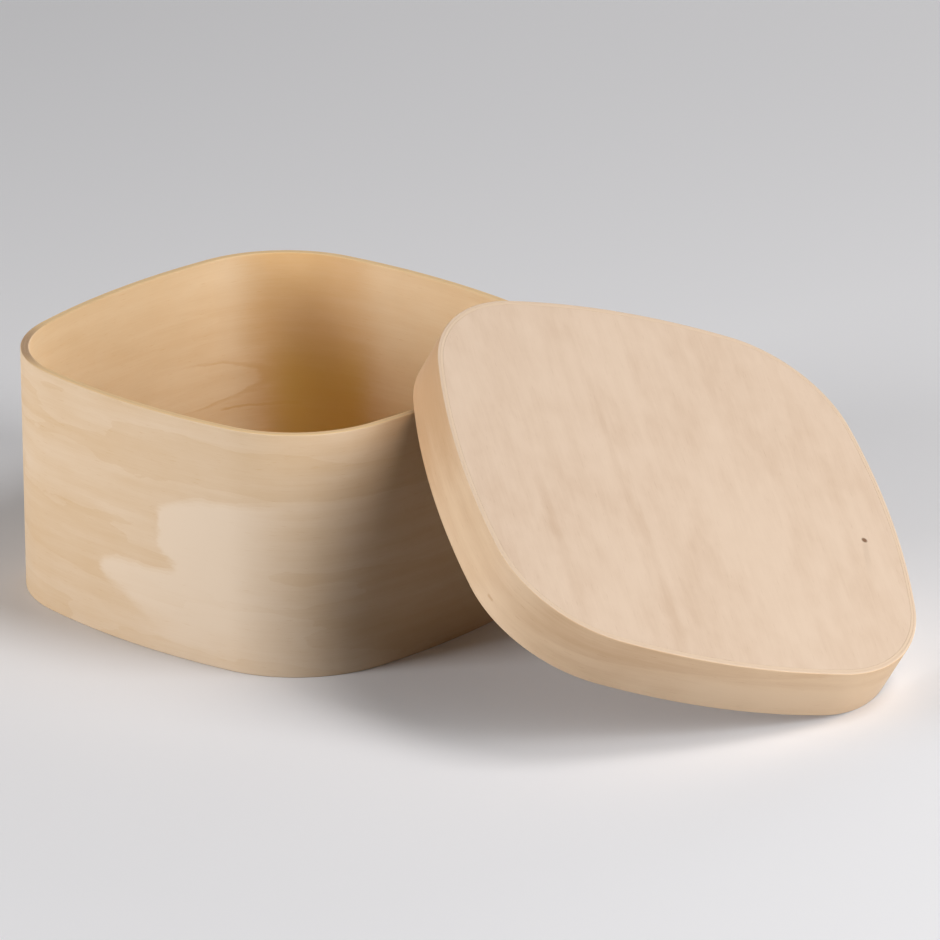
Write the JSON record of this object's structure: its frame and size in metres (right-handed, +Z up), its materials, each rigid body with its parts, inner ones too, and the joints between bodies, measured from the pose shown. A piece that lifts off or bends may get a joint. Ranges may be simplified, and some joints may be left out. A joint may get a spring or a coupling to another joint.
{
  "type": "chipwood box",
  "caption": "Bent veneer chipwood box, square with bowed sides and round corners, with a shallow loose lid that slips over its rim.",
  "frame": {"origin": "centre of the box's underside, on the surface that it stands on", "axes": "+Z up, X and Y square to the bowed sides, with the lid leaning on the -Y side"},
  "size_m": [0.1829, 0.2915, 0.1056],
  "materials": {
    "wall_veneer": "raw sanded pale veneer, grain along the strip",
    "core_veneer": "raw veneer, seen only as an edge in the rim",
    "lining_veneer": "raw sanded pale veneer, slightly warmer",
    "base_board": "raw sanded thin plywood",
    "band_veneer": "raw sanded pale veneer, grain along the strip",
    "lid_board": "raw sanded thin plywood with straight grain"
  },
  "bodies": {
    "box": {"wall_outer_veneer": "wall_veneer", "wall_core_veneer": "core_veneer", "wall_inner_veneer": "lining_veneer", "base_board": "base_board"},
    "lid": {"lid_outer_veneer": "band_veneer", "lid_inner_veneer": "lining_veneer", "lid_board": "lid_board"}
  },
  "joints": [
    {"name": "lid_lift", "type": "slide", "parent": "box", "child": "lid", "axis": [0, 0, 1], "range_m": [0, 0.1]}
  ]
}
